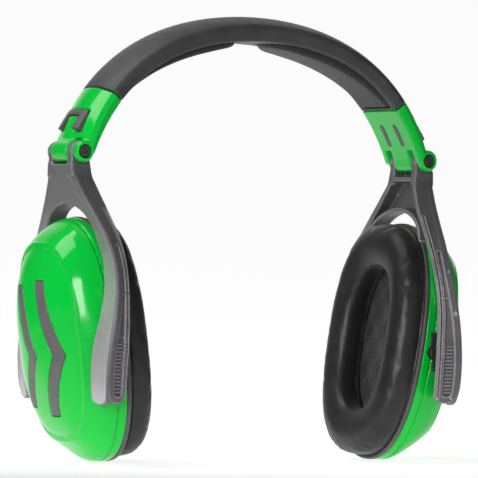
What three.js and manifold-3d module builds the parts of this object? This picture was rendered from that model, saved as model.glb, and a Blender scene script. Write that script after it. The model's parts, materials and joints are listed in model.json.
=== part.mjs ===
// Folding earmuff hearing protector: a headband, two folding forks, sliding cup carriers and two
// cups. Millimetres, +Z up. X runs from ear to ear, Y from front (negative) to back. The origin is
// the middle of the headband's underside, where it rests on the head.
// Each side is built as the +X side and mirrored for the other ear.

import * as THREE from 'three';
import { mergeVertices } from 'three/addons/utils/BufferGeometryUtils.js';
import Module from 'manifold-3d';

const wasm = await Module();
wasm.setup();

// ---- driving dimensions -------------------------------------------------------------------------
const GAP = 0.3; // clearance between neighbouring pieces

// headband arch: its outer surface is half an ellipse in the XZ plane, along the band's middle,
// with slightly fuller shoulders. Places along it are the ellipse's parameter, in degrees from
// the top.
const ARCH_HALF_WIDTH = 84;
const ARCH_HALF_HEIGHT = 73.8;
const ARCH_CENTRE_Z = -65;
const SHOULDER_RISE = 1.4; // how far each shoulder stands out of the ellipse
const HINGE_ANGLE = 75; // where the arch ends, over the fold hinge
const CROWN_THICKNESS = 10.3;
const END_THICKNESS = 9;
const BAND_HALF_WIDTH = 15.6;
const BAND_CROWN = 4.3; // how far the outer surface falls away at the band's edges
const UNDERSIDE_RATIO = 0.86; // width of the underside, to that of the band
const SHELL_END = 54; // where the coloured band ends begin
const SHELL_FACETS = 27; // an odd count leaves a flat facet at the top
const PAD_START = 5; // upper end of each comfort pad
const PAD_HALF_WIDTH = 10.6;
const PAD_RECESS = 2.4;
const PAD_PROUD = 2.2; // how far the middle of a pad stands out of the underside
const SPRING_HALF_WIDTH = 6;
const SPRING_THICKNESS = 0.8;
const SPRING_DEPTH = 5.4; // below the outer surface
const SPRING_REACH = 5; // degrees that the spring runs into each band end

// fold hinge
const PIN_X = 77.5;
const PIN_Z = -47;
const KNUCKLE_RADIUS = 4.1;
const TONGUE_HALF_WIDTH = 6.6; // middle knuckle of the band end
const TONGUE_RADIUS = 4.6;
const TONGUE_BULGE = 6.2; // radius of its outward side
const TONGUE_SOLE = 4.5; // below the pin's axis
const LUG_THICKNESS = 3.6;
const LUG_INNER = TONGUE_HALF_WIDTH + GAP;
const LUG_OUTER = LUG_INNER + LUG_THICKNESS;
const LUG_RADIUS = 4.2;
const PIN_RADIUS = 1.5;
const PIN_HEAD_RADIUS = 2.4;
const PIN_HEAD_LENGTH = 1.6;
const COUNTERBORE_RADIUS = 2.75;
const COUNTERBORE_FLOOR = 12.2; // distance from the middle plane

// grip key, a U-shaped cover set into the band end
const KEY_TOP = 62; // places along the arch
const KEY_BOTTOM = 68.9;
const KEY_BAR = 2.1;
const KEY_HALF_WIDTH = 8.8;
const KEY_LEG_WIDTH = 3.9;
const KEY_DEPTH = 1.4;
const KEY_PROUD = 0.9;

// fork: one arm in front of the cup and one behind it, joined above the cup
const FORK_TOP = -51.9;
const FORK_BOTTOM = -144.8;
const FORK_WALL = 2.6;
const OPENING_TOP = -68;
const FORK_SLANT = THREE.MathUtils.degToRad(30); // of the arms' side walls

// cup, its rim plane leaning so that the lower end is nearer the other ear
const CUP_TILT = THREE.MathUtils.degToRad(8.6);
const CUP_X = 67.5;
const CUP_Z = -120.5;
const RIM_HALF_WIDTH = 31;
const RIM_HALF_HEIGHT = 48.5;
const CUP_WALL = 2.6;
const DOME_DEPTH = 26.6;
const BASEPLATE_THICKNESS = 2.6;
const CLIP_RING_THICKNESS = 1.4;
const CUSHION_THICKNESS = 8.6;
const CUSHION_HALF_WIDTH = 31.5;
const CUSHION_HALF_HEIGHT = 47.5;
const EAR_HALF_WIDTH = 19;
const EAR_HALF_HEIGHT = 28.5;
const STRIP_HALF_WIDTH = 1.9;
const STRIP_DEPTH = 1.2;

// cup carriers, which slide along the fork arms and hold the cup on two studs
const STUD_X = 71.2;
const STUD_Z = -124;
const STUD_RADIUS = 2.1;
const STUD_REACH = 28.8; // distance of the stud's end from the middle plane
const TRACK_LEAN = THREE.MathUtils.degToRad(3);
const CARRIER_HALF_LENGTH = 8;
const CARRIER_INNER = 32.3;

// ---- materials ----------------------------------------------------------------------------------
const finish = (color, roughness, metalness = 0) => (
  new THREE.MeshStandardMaterial({ color, roughness, metalness })
);
const bandGrey = finish(0x4b4a4c, 0.55);
const padGrey = finish(0x39383a, 0.8);
const keyGrey = finish(0x4a494b, 0.6);
const greenGloss = finish(0x08c83c, 0.18);
const forkGrey = finish(0x6c6b6e, 0.4, 0.1);
const carrierGrey = finish(0x3c3b3d, 0.5);
const stripGrey = finish(0x6a6668, 0.5);
const rimGrey = finish(0x565254, 0.5);
const leatherette = finish(0x1e1c1f, 0.45);
const foamBlack = finish(0x1a1a1c, 0.95);
const steel = finish(0x8c8e90, 0.3, 1);

// ---- general helpers ----------------------------------------------------------------------------
const { lerp, degToRad } = THREE.MathUtils;
const signedPower = (value, power) => (
  Math.abs(value) < 1e-9 ? 0 : Math.sign(value) * Math.abs(value) ** power
);

function signedVolume(position, index) {
  const a = new THREE.Vector3();
  const b = new THREE.Vector3();
  const c = new THREE.Vector3();
  let volume = 0;
  for (let i = 0; i < index.count; i += 3) {
    a.fromBufferAttribute(position, index.getX(i));
    b.fromBufferAttribute(position, index.getX(i + 1));
    c.fromBufferAttribute(position, index.getX(i + 2));
    volume += a.dot(b.cross(c)) / 6;
  }
  return volume;
}

// A manifold solid from a closed geometry, with its faces turned outward.
function toSolid(geometry) {
  geometry.deleteAttribute('normal');
  geometry.deleteAttribute('uv');
  const merged = mergeVertices(geometry, 1e-4);
  const triangles = Uint32Array.from(merged.index.array);
  if (signedVolume(merged.attributes.position, merged.index) < 0) triangles.reverse();
  return new wasm.Manifold(new wasm.Mesh({
    numProp: 3,
    vertProperties: Float32Array.from(merged.attributes.position.array),
    triVerts: triangles,
  }));
}

function toGeometry(solid) {
  const mesh = solid.getMesh();
  const geometry = new THREE.BufferGeometry();
  geometry.setAttribute('position', new THREE.BufferAttribute(mesh.vertProperties, 3));
  geometry.setIndex(new THREE.BufferAttribute(mesh.triVerts, 1));
  return geometry;
}

const union = (...solids) => solids.reduce((sum, solid) => sum.add(solid));

// Moves every vertex of a geometry to the place that the function gives for it.
function warp(geometry, place) {
  const position = geometry.attributes.position;
  const point = new THREE.Vector3();
  for (let i = 0; i < position.count; i += 1) {
    point.fromBufferAttribute(position, i);
    const moved = place(point);
    position.setXYZ(i, moved.x, moved.y, moved.z);
  }
  return geometry;
}

// A closed body through a row of sections: place(t, angle, reach) gives the point at t (0 to 1)
// along the row, where reach is 1 on the section's outline and 0 at its middle.
function loft(sides, steps, place) {
  const tube = new THREE.CylinderGeometry(1, 1, 1, sides, steps);
  return toSolid(warp(tube, (p) => {
    const reach = Math.hypot(p.x, p.z) > 0.5 ? 1 : 0;
    return place(0.5 - p.y, Math.atan2(p.x, p.z), reach);
  }));
}

// Smooth interpolation through (at, value) knots in rising order of "at".
function curveThrough(knots) {
  const last = knots.length - 1;
  const slope = (i) => {
    const before = knots[Math.max(i - 1, 0)];
    const after = knots[Math.min(i + 1, last)];
    return (after[1] - before[1]) / (after[0] - before[0]);
  };
  return (at) => {
    if (at <= knots[0][0]) return knots[0][1];
    if (at >= knots[last][0]) return knots[last][1];
    const i = knots.findIndex((knot) => knot[0] > at) - 1;
    const span = knots[i + 1][0] - knots[i][0];
    const t = (at - knots[i][0]) / span;
    const ease = t * t * (3 - 2 * t);
    const bend = slope(i) * t * (1 - t) ** 2 - slope(i + 1) * t * t * (1 - t);
    return lerp(knots[i][1], knots[i + 1][1], ease) + span * bend;
  };
}

function block(width, depth, height, x, y, z) {
  return toSolid(new THREE.BoxGeometry(width, depth, height).translate(x, y, z));
}

// A round bar along Y between two distances from the middle plane.
function barAlongY(radius, yStart, yEnd, x, z, sides = 16) {
  const bar = new THREE.CylinderGeometry(radius, radius, Math.abs(yEnd - yStart), sides);
  return toSolid(bar.translate(x, (yStart + yEnd) / 2, z));
}

// ---- headband arch ------------------------------------------------------------------------------
// The place on the arch at an angle, towards +X, and a height over the outer surface.
function onArch(angle, y, heightOverArch) {
  const turn = degToRad(angle);
  const height = heightOverArch + SHOULDER_RISE * Math.sin((Math.PI * angle) / HINGE_ANGLE) ** 2;
  const normal = new THREE.Vector2(
    Math.sin(turn) / ARCH_HALF_WIDTH,
    Math.cos(turn) / ARCH_HALF_HEIGHT,
  ).normalize();
  return new THREE.Vector3(
    ARCH_HALF_WIDTH * Math.sin(turn) + normal.x * height,
    y,
    ARCH_CENTRE_Z + ARCH_HALF_HEIGHT * Math.cos(turn) + normal.y * height,
  );
}

const bandThickness = (angle) => (
  lerp(CROWN_THICKNESS, END_THICKNESS, Math.min(Math.abs(angle) / SHELL_END, 1) ** 2)
);
const crownFall = (y) => BAND_CROWN * (y / BAND_HALF_WIDTH) ** 2;

// A length of band: crowned outside, flat inside, edges rounded. "outside" and "inside" are heights
// over the band's own outer surface, given as functions of the angle.
function bandLength(from, to, steps, outside, inside, halfWidth = BAND_HALF_WIDTH) {
  const sides = 15; // an odd count has a crest outside and a flat facet inside
  const lowest = Math.cos(Math.PI / sides) ** 0.32;
  return loft(sides, steps, (t, turn, reach) => {
    const angle = lerp(from, to, t);
    const rise = Math.max(signedPower(Math.cos(turn), 0.32) / lowest, -1);
    const narrowing = lerp(1, UNDERSIDE_RATIO, Math.max(-rise, 0));
    const y = reach * halfWidth * narrowing * signedPower(Math.sin(turn), 0.4);
    const share = (reach * Math.min(rise, 1) + 1) / 2;
    const height = lerp(inside(angle), outside(angle) - crownFall(y), share);
    return onArch(angle, y, height);
  });
}

// A stadium-ended strip under the band, for the comfort pads and their recesses.
function padStrip(from, to, halfWidth, outside, inside) {
  const capAngle = (halfWidth / ARCH_HALF_WIDTH) * (180 / Math.PI);
  return loft(12, 12, (t, turn, reach) => {
    const angle = lerp(from, to, t ** 1.3);
    const cap = 1 - Math.min((angle - from) / capAngle, 1);
    const width = halfWidth * Math.max(Math.sqrt(1 - cap * cap), 0.25);
    const y = reach * width * signedPower(Math.sin(turn), 0.3);
    const rise = reach * signedPower(Math.cos(turn), 0.3);
    return onArch(angle, y, lerp(inside(angle), outside(angle), (rise + 1) / 2));
  });
}

const inner = (extra = 0) => (angle) => -bandThickness(angle) + extra;
const padEnd = SHELL_END - 1.2;
const padShare = (angle) => (angle - PAD_START) / (padEnd - PAD_START);
const padProud = (angle) => PAD_PROUD * Math.sin(Math.PI * padShare(angle) ** 0.6);

function springStrip(clearance, reachAngle) {
  const half = SPRING_THICKNESS / 2 + clearance;
  const width = 2 * (SPRING_HALF_WIDTH + clearance);
  const strip = new THREE.BoxGeometry(2 * reachAngle, width, 2 * half, SHELL_FACETS);
  return toSolid(warp(strip, (p) => onArch(p.x, p.y, p.z - SPRING_DEPTH)));
}

function makeHeadbandShell() {
  const body = bandLength(-SHELL_END, SHELL_END, SHELL_FACETS, () => 0, inner());
  const recess = padStrip(
    PAD_START - 0.4,
    padEnd + 0.3,
    PAD_HALF_WIDTH + GAP,
    inner(PAD_RECESS),
    inner(-3),
  );
  return body
    .subtract(springStrip(GAP, SHELL_END + 2))
    .subtract(recess)
    .subtract(mirrored(recess));
}

const makeComfortPad = () => (
  padStrip(PAD_START, padEnd, PAD_HALF_WIDTH, inner(PAD_RECESS - GAP), (angle) => (
    -bandThickness(angle) - padProud(angle)
  ))
);

// ---- band ends with the fold hinge --------------------------------------------------------------
const slotBetween = (innerY, outerY, sign) => {
  const middle = (sign * (innerY + outerY)) / 2;
  const width = outerY - innerY;
  const round = barAlongY(LUG_RADIUS + 1.2, middle - width / 2, middle + width / 2, PIN_X, PIN_Z);
  return union(
    round,
    block(9, width, 14, PIN_X + 1, middle, PIN_Z - 7),
    block(12, width, 12.4, PIN_X - 5.5, middle, PIN_Z - 1.4),
  );
};

function grownKey(clearance, outside, inside) {
  const top = KEY_TOP - clearance;
  const bottom = KEY_BOTTOM + clearance;
  const half = KEY_HALF_WIDTH + clearance;
  const halfNotch = KEY_HALF_WIDTH - KEY_LEG_WIDTH - clearance;
  const layer = (from, to, margin, width) => (
    bandLength(from, to, 6, () => outside + margin, () => inside - margin, width)
  );
  const notch = layer(KEY_TOP + KEY_BAR + clearance, bottom + 2, 2, halfNotch);
  return layer(top, bottom, 0, half).subtract(notch);
}

// The middle knuckle: round where the fork turns past it, fuller outward, and flat below.
function makeTongue() {
  const bar = (radius) => (
    barAlongY(radius, -TONGUE_HALF_WIDTH, TONGUE_HALF_WIDTH, PIN_X, PIN_Z, 24)
  );
  const width = 2 * TONGUE_HALF_WIDTH + 1;
  const outward = block(10, width, 20, PIN_X + 6, 0, PIN_Z);
  const sole = block(20, width, 6, PIN_X, 0, PIN_Z - TONGUE_SOLE - 3);
  return bar(TONGUE_RADIUS).add(bar(TONGUE_BULGE).intersect(outward)).subtract(sole);
}

function makeBandEnd() {
  const towardsHinge = (angle) => ((angle - SHELL_END) / (HINGE_ANGLE - SHELL_END)) ** 3;
  const outside = (angle) => -1.2 * towardsHinge(angle);
  const inside = (angle) => -lerp(END_THICKNESS, 8.2, towardsHinge(angle));
  let body = bandLength(SHELL_END + 0.25, HINGE_ANGLE, 6, outside, inside);
  const outerWidth = BAND_HALF_WIDTH - 0.3;
  [-1, 1].forEach((sign) => {
    const round = new THREE.CylinderGeometry(KNUCKLE_RADIUS, KNUCKLE_RADIUS, 1, 24, 4);
    const start = LUG_OUTER + GAP;
    warp(round, (p) => {
      const depth = (p.y + 0.5) ** 0.6;
      const shrink = 1 - 0.32 * Math.max(depth - 0.55, 0) ** 2 / 0.2;
      return new THREE.Vector3(p.x * shrink, sign * lerp(start, outerWidth, depth), p.z * shrink);
    });
    body = body.add(toSolid(round.translate(PIN_X, 0, PIN_Z)));
  });
  [-1, 1].forEach((sign) => {
    body = body.subtract(slotBetween(TONGUE_HALF_WIDTH, LUG_OUTER + GAP, sign));
    const recess = barAlongY(COUNTERBORE_RADIUS, sign * COUNTERBORE_FLOOR, sign * 20, PIN_X, PIN_Z);
    body = body.subtract(recess);
  });
  return body
    .add(makeTongue())
    .subtract(barAlongY(PIN_RADIUS + GAP, -16, 16, PIN_X, PIN_Z, 20))
    .subtract(grownKey(GAP, 3, -KEY_DEPTH - GAP))
    .subtract(springStrip(GAP, SHELL_END + SPRING_REACH + 0.6));
}

const makeGripKey = () => grownKey(0, KEY_PROUD, -KEY_DEPTH);

// A stepped pin along Y, its head in the front knuckle's counterbore.
function makeHingePin() {
  const headStart = -(COUNTERBORE_FLOOR + GAP);
  const headEnd = headStart - PIN_HEAD_LENGTH;
  const end = COUNTERBORE_FLOOR + GAP + PIN_HEAD_LENGTH;
  const points = [
    [0, headEnd + 0.6],
    [1.1, headEnd + 0.6],
    [1.1, headEnd],
    [PIN_HEAD_RADIUS - 0.3, headEnd],
    [PIN_HEAD_RADIUS, headEnd + 0.3],
    [PIN_HEAD_RADIUS, headStart],
    [PIN_RADIUS, headStart],
    [PIN_RADIUS, end],
    [0, end],
  ].map(([radius, y]) => new THREE.Vector2(radius, y));
  return toSolid(new THREE.LatheGeometry(points, 16).translate(PIN_X, 0, PIN_Z));
}

// The push-on retaining cap on the pin's rear end.
function makeHingeCap() {
  const start = COUNTERBORE_FLOOR + GAP;
  const bore = PIN_RADIUS + GAP;
  const points = [
    [bore, start],
    [PIN_HEAD_RADIUS, start],
    [PIN_HEAD_RADIUS, start + PIN_HEAD_LENGTH],
    [bore, start + PIN_HEAD_LENGTH],
    [bore, start],
  ].map(([radius, y]) => new THREE.Vector2(radius, y));
  return toSolid(new THREE.LatheGeometry(points, 16).translate(PIN_X, 0, PIN_Z));
}

// ---- fork ---------------------------------------------------------------------------------------
// The arms' outer corner, by height: distance outward from the pin, and from the middle plane.
const cornerX = curveThrough([
  [-149, -0.6], [-140, 0.6], [-130, 0.9], [-120, 0.2], [-110, -1], [-100, -2.2],
  [-90, -2.6], [-80, -1.6], [-71, 0.2], [-62, 2.2], [-54, 3.6], [-51, 4],
]);
const cornerY = curveThrough([
  [-149, 37.4], [-140, 40], [-130, 41.4], [-120, 42.5], [-110, 42.9], [-100, 41.2],
  [-90, 37.4], [-80, 31.2], [-71, 23.2], [-62, 15.4], [-54, 10.6], [-51, 10.2],
]);
const openingHalfWidth = curveThrough([
  [-150, 29.5], [-125, 29.2], [-110, 30.8], [-100, 30], [-90, 27], [-80, 21.4],
  [-74, 16], [-70.5, 11.4], [-68.4, 6.5],
]);
const sideWallWidth = curveThrough([
  [-149, 6.2], [-144, 8.8], [-135, 9.6], [-120, 9.4], [-100, 8.6], [-80, 8], [-60, 7.6], [-51, 6.6],
]);

// The section of one arm at a height: an outer wall towards the middle plane and a slanted side
// wall towards the other ear, both one wall thick, with the outer corner rounded.
function armSection(z, innerY) {
  const corner = new THREE.Vector2(PIN_X + cornerX(z), cornerY(z));
  const side = new THREE.Vector2(-Math.cos(FORK_SLANT), -Math.sin(FORK_SLANT));
  const sideNormal = new THREE.Vector2(side.y, -side.x);
  const wall = FORK_WALL;
  const round = 2;
  const innerX = corner.x + 0.5;
  const outlineEnd = new THREE.Vector2(innerX, innerY);
  const at = (start, direction, length) => start.clone().addScaledVector(direction, length);
  const sideTip = at(corner, side, sideWallWidth(z));
  const innerCornerX = corner.x - wall;
  const along = (corner.x - sideNormal.x * wall - innerCornerX) / Math.cos(FORK_SLANT);
  const innerCorner = at(at(corner, sideNormal, -wall), side, along);
  const outward = new THREE.Vector2(0, -1);
  return {
    middle: corner.clone().add(innerCorner).multiplyScalar(0.5),
    outline: [
      sideTip,
      at(corner, side, round),
      corner.clone().addScaledVector(side, 0.35 * round).addScaledVector(outward, 0.25 * round),
      at(corner, outward, round),
      outlineEnd,
      new THREE.Vector2(innerX - wall, innerY),
      innerCorner,
      at(sideTip, sideNormal, -wall),
    ],
  };
}

function makeArm(sign) {
  const bottomRound = 7;
  const steps = 24;
  const count = 8;
  return loft(count, steps, (t, turn, reach) => {
    const z = lerp(FORK_TOP, FORK_BOTTOM, t);
    const open = z > OPENING_TOP ? 0 : openingHalfWidth(z);
    const section = armSection(z, open > 0 ? open : -1);
    const i = Math.round((turn / (2 * Math.PI)) * count + count) % count;
    const tip = Math.max(0, (FORK_BOTTOM + bottomRound - z) / bottomRound);
    const shrink = lerp(1, Math.sqrt(1 - Math.min(tip, 1) ** 2), 0.75);
    const point = section.middle.clone().lerp(section.outline[i], reach * shrink);
    return new THREE.Vector3(point.x, sign * point.y, z);
  });
}

function makeFork() {
  let fork = union(makeArm(-1), makeArm(1));
  [-1, 1].forEach((sign) => {
    const middle = (sign * (LUG_INNER + LUG_OUTER)) / 2;
    const halfSpan = LUG_THICKNESS / 2;
    const knuckle = barAlongY(LUG_RADIUS, middle - halfSpan, middle + halfSpan, PIN_X, PIN_Z);
    const neck = block(2 * LUG_RADIUS - 1.4, LUG_THICKNESS, 9.5, PIN_X - 0.3, middle, PIN_Z - 4.75);
    fork = union(fork, knuckle, neck);
  });
  const web = block(6.4, 2 * LUG_OUTER, 2.4, PIN_X - 1.2, 0, PIN_Z - 7.2);
  return fork
    .add(web)
    .subtract(barAlongY(PIN_RADIUS + GAP, -16, 16, PIN_X, PIN_Z, 20));
}

// ---- cup ----------------------------------------------------------------------------------------
// Cup coordinates: x is the depth outward from the rim plane, y as the part's, z along the cup.
const cupFrame = new THREE.Matrix4()
  .makeTranslation(CUP_X, 0, CUP_Z)
  .multiply(new THREE.Matrix4().makeRotationY(CUP_TILT));
const inCup = (x, y, z) => new THREE.Vector3(x, y, z).applyMatrix4(cupFrame);

// An oval between two depths, its half width and height times "scale" at each step.
function cupStack(halfWidth, halfHeight, power, depthAt, scaleAt, sides, steps) {
  return loft(sides, steps, (t, turn, reach) => {
    const y = reach * scaleAt(t) * halfWidth * signedPower(Math.sin(turn), 2 / power);
    const z = reach * scaleAt(t) * halfHeight * signedPower(Math.cos(turn), 2 / power);
    return inCup(depthAt(t), y, z);
  });
}

function ovalSlab(halfWidth, halfHeight, low, high, sides = 28) {
  return cupStack(halfWidth, halfHeight, 2.3, (t) => lerp(low, high, t), () => 1, sides, 1);
}

// The shell's outside, by depth: an upright skirt, a small step, then the dome.
const domeScale = curveThrough([
  [0, 1], [4, 0.995], [4.8, 0.96], [7, 0.94], [11, 0.89], [15, 0.815], [19, 0.7],
  [22, 0.58], [24.4, 0.42], [25.9, 0.25], [DOME_DEPTH, 0.06],
]);
const domeDepths = [0, 4, 4.8, 9.5, 14.5, 19, 22.6, 25.2, DOME_DEPTH];

function domeBody(inset, sides) {
  const steps = domeDepths.length - 1;
  return loft(sides, steps, (t, turn, reach) => {
    const full = domeDepths[Math.round(t * steps)];
    const depth = full * (1 - inset / DOME_DEPTH) - (inset > 0 && full === 0 ? 1 : 0);
    const scale = domeScale(full);
    const halfWidth = RIM_HALF_WIDTH * scale - inset;
    const halfHeight = RIM_HALF_HEIGHT * scale - inset;
    const y = reach * Math.max(halfWidth, 0.5) * signedPower(Math.sin(turn), 0.9);
    const z = reach * Math.max(halfHeight, 0.5) * signedPower(Math.cos(turn), 0.9);
    return inCup(depth, y, z);
  });
}

// A chevron ribbon seen along the cup's depth, cut through the dome from outside.
function chevronPrism(vertexY, endY, topZ, bottomZ, halfWidth) {
  const line = new THREE.CatmullRomCurve3([
    new THREE.Vector3(endY, topZ, 0),
    new THREE.Vector3(lerp(endY, vertexY, 0.62), topZ * 0.42, 0),
    new THREE.Vector3(vertexY, -3, 0),
    new THREE.Vector3(lerp(endY, vertexY, 0.7), bottomZ * 0.5, 0),
    new THREE.Vector3(endY, bottomZ, 0),
  ]);
  const count = 6;
  const edge = (side) => Array.from({ length: count + 1 }, (_, i) => {
    const point = line.getPoint(i / count);
    const along = line.getTangent(i / count).multiplyScalar(side * halfWidth);
    return new THREE.Vector2(point.x - along.y, point.y + along.x);
  });
  const shape = new THREE.Shape([...edge(1), ...edge(-1).reverse()]);
  const prism = new THREE.ExtrudeGeometry(shape, { depth: 40, bevelEnabled: false });
  return toSolid(warp(prism, (p) => inCup(p.z + 4, p.x, p.y)));
}

const frontChevron = (grow) => chevronPrism(-17, -6.5, 26 + grow, -27 - grow, STRIP_HALF_WIDTH + grow);
const rearChevron = (grow) => chevronPrism(-2.5, 11, 24 + grow, -24 - grow, STRIP_HALF_WIDTH + grow);

const studBar = (radius, fromY, toY) => barAlongY(radius, fromY, toY, STUD_X, STUD_Z);
const studHole = (sign) => studBar(STUD_RADIUS + GAP, sign * (STUD_REACH - GAP), sign * 40);

const DOME_SIDES = 28;
const outerDome = domeBody(0, DOME_SIDES);

function makeCupShell() {
  let shell = outerDome.subtract(domeBody(CUP_WALL, 20));
  const grooveFloor = domeBody(STRIP_DEPTH + GAP, DOME_SIDES);
  [frontChevron, rearChevron].forEach((chevron) => {
    shell = shell.subtract(chevron(GAP).subtract(grooveFloor));
  });
  [-1, 1].forEach((sign) => {
    const boss = studBar(STUD_RADIUS + 1.6, sign * (STUD_REACH - 2.4), sign * 29.9);
    shell = shell.add(boss).subtract(studHole(sign));
  });
  return shell;
}

function makeStrip(chevron) {
  return outerDome.intersect(chevron(0)).subtract(domeBody(STRIP_DEPTH, DOME_SIDES));
}

function makeBaseplate() {
  const plate = ovalSlab(RIM_HALF_WIDTH + 0.4, RIM_HALF_HEIGHT + 0.2, -BASEPLATE_THICKNESS, -GAP);
  const hole = ovalSlab(EAR_HALF_WIDTH + 3.5, EAR_HALF_HEIGHT + 4, -BASEPLATE_THICKNESS - 1, 1);
  return plate.subtract(hole);
}

const clipRingBase = -BASEPLATE_THICKNESS - GAP;

function makeClipRing() {
  const outside = ovalSlab(
    CUSHION_HALF_WIDTH - 2,
    CUSHION_HALF_HEIGHT - 2,
    clipRingBase - CLIP_RING_THICKNESS,
    clipRingBase,
  );
  const hole = ovalSlab(EAR_HALF_WIDTH + 2.5, EAR_HALF_HEIGHT + 3, clipRingBase - 4, clipRingBase + 1);
  return outside.subtract(hole);
}

// The ear cushion: an oval ring with a full, rounded section.
const cushionBase = clipRingBase - CLIP_RING_THICKNESS - GAP;

function makeCushion() {
  const sides = 12;
  const section = Array.from({ length: sides + 1 }, (_, i) => {
    const turn = (2 * Math.PI * ((i % sides) + 0.5)) / sides;
    const across = 2 + signedPower(Math.cos(turn), 0.75);
    const height = (1 + signedPower(Math.sin(turn), 0.75)) / 2;
    return new THREE.Vector2(across, height);
  });
  const ring = new THREE.LatheGeometry(section, 32);
  return toSolid(warp(ring, (p) => {
    const across = (Math.hypot(p.x, p.z) - 1) / 2;
    const turn = Math.atan2(p.x, p.z);
    const halfWidth = lerp(EAR_HALF_WIDTH, CUSHION_HALF_WIDTH, across);
    const halfHeight = lerp(EAR_HALF_HEIGHT, CUSHION_HALF_HEIGHT, across);
    return inCup(
      cushionBase - CUSHION_THICKNESS * p.y,
      halfWidth * signedPower(Math.sin(turn), 0.9),
      halfHeight * signedPower(Math.cos(turn), 0.9),
    );
  }));
}

// The sound-absorbing foam against the inside of the dome.
function makeFoamLiner() {
  const inside = domeBody(CUP_WALL + 2 * GAP, 20);
  const slab = ovalSlab(RIM_HALF_WIDTH, RIM_HALF_HEIGHT, 8, 40, 20);
  return inside.intersect(slab);
}

// ---- cup carriers -------------------------------------------------------------------------------
function makeCarrier(sign) {
  const lean = Math.sin(TRACK_LEAN);
  const body = loft(4, 1, (t, turn, reach) => {
    const z = lerp(CARRIER_HALF_LENGTH, -CARRIER_HALF_LENGTH, t);
    const corners = [
      [STUD_X - 2.2, CARRIER_INNER], [STUD_X - 2.2, CARRIER_INNER + 0.7],
      [STUD_X + 2.6, CARRIER_INNER + 1.1], [STUD_X + 2.6, CARRIER_INNER],
    ];
    const i = Math.round((turn / (2 * Math.PI)) * 4 + 4) % 4;
    const middle = [STUD_X, CARRIER_INNER + 1];
    const x = lerp(middle[0], corners[i][0], reach);
    const y = lerp(middle[1], corners[i][1], reach);
    return new THREE.Vector3(x - lean * z, sign * y, STUD_Z + z);
  });
  return body.add(studBar(STUD_RADIUS, sign * STUD_REACH, sign * (CARRIER_INNER + 0.6)));
}

// ---- assembly -----------------------------------------------------------------------------------
function mirrored(solid) {
  return toSolid(toGeometry(solid).scale(-1, 1, 1));
}

const topFacet = SHELL_END / SHELL_FACETS;
const underside = onArch(topFacet, 0, -bandThickness(topFacet));
const earmuff = new THREE.Group();

function addPiece(name, solid, material) {
  const mesh = new THREE.Mesh(toGeometry(solid), material);
  mesh.name = name;
  earmuff.add(mesh);
}

addPiece('headband_shell', makeHeadbandShell(), bandGrey);
addPiece('headband_spring', springStrip(0, SHELL_END + SPRING_REACH), steel);

const sidePieces = [
  ['comfort_pad', makeComfortPad(), padGrey],
  ['band_end', makeBandEnd(), greenGloss],
  ['grip_key', makeGripKey(), keyGrey],
  ['hinge_pin', makeHingePin(), steel],
  ['hinge_cap', makeHingeCap(), steel],
  ['fork', makeFork(), forkGrey],
  ['carrier_front', makeCarrier(-1), carrierGrey],
  ['carrier_rear', makeCarrier(1), carrierGrey],
  ['cup_shell', makeCupShell(), greenGloss],
  ['accent_strip_front', makeStrip(frontChevron), stripGrey],
  ['accent_strip_rear', makeStrip(rearChevron), stripGrey],
  ['cup_baseplate', makeBaseplate(), rimGrey],
  ['cushion_clip_ring', makeClipRing(), rimGrey],
  ['ear_cushion', makeCushion(), leatherette],
  ['foam_liner', makeFoamLiner(), foamBlack],
];

sidePieces.forEach(([name, solid, material]) => {
  addPiece(`right_${name}`, solid, material);
  addPiece(`left_${name}`, mirrored(solid), material);
});

earmuff.position.z = -underside.z;

export default earmuff;
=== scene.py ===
# Folding earmuff hearing protector: the fine meshes, materials, light and camera around the packed
# CAD model. Sizes are in millimetres until a mesh is made. Each side piece is made for the +X side
# and mirrored for the other ear.
import json
import math

import bpy
import numpy as np
from mathutils import Matrix, Vector


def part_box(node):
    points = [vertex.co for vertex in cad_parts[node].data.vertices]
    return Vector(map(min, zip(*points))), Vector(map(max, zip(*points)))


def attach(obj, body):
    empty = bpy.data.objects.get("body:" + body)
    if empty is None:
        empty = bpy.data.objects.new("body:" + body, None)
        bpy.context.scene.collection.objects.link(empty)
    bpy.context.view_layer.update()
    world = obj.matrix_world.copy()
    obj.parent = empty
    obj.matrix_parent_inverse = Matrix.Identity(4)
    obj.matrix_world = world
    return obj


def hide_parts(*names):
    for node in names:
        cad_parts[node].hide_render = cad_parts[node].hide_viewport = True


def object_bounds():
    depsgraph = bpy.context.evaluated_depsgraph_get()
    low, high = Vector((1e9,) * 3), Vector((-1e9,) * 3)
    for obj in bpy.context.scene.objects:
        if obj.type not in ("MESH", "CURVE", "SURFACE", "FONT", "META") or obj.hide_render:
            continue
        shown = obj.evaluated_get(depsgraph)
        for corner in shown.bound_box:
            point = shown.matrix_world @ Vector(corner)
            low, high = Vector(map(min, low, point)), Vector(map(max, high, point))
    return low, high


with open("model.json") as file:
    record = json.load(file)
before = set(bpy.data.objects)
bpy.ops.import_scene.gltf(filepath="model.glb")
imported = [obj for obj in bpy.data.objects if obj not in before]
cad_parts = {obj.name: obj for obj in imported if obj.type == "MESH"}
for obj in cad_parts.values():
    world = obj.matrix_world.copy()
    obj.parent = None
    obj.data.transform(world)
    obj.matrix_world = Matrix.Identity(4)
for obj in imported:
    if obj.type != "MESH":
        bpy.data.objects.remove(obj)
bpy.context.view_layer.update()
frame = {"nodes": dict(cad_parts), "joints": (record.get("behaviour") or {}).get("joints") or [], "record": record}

MM = 0.001


# ---- places taken from the frame ----------------------------------------------------------------
def box_mm(node):
    low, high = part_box(node)
    return np.array(low) / MM, np.array(high) / MM


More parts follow.
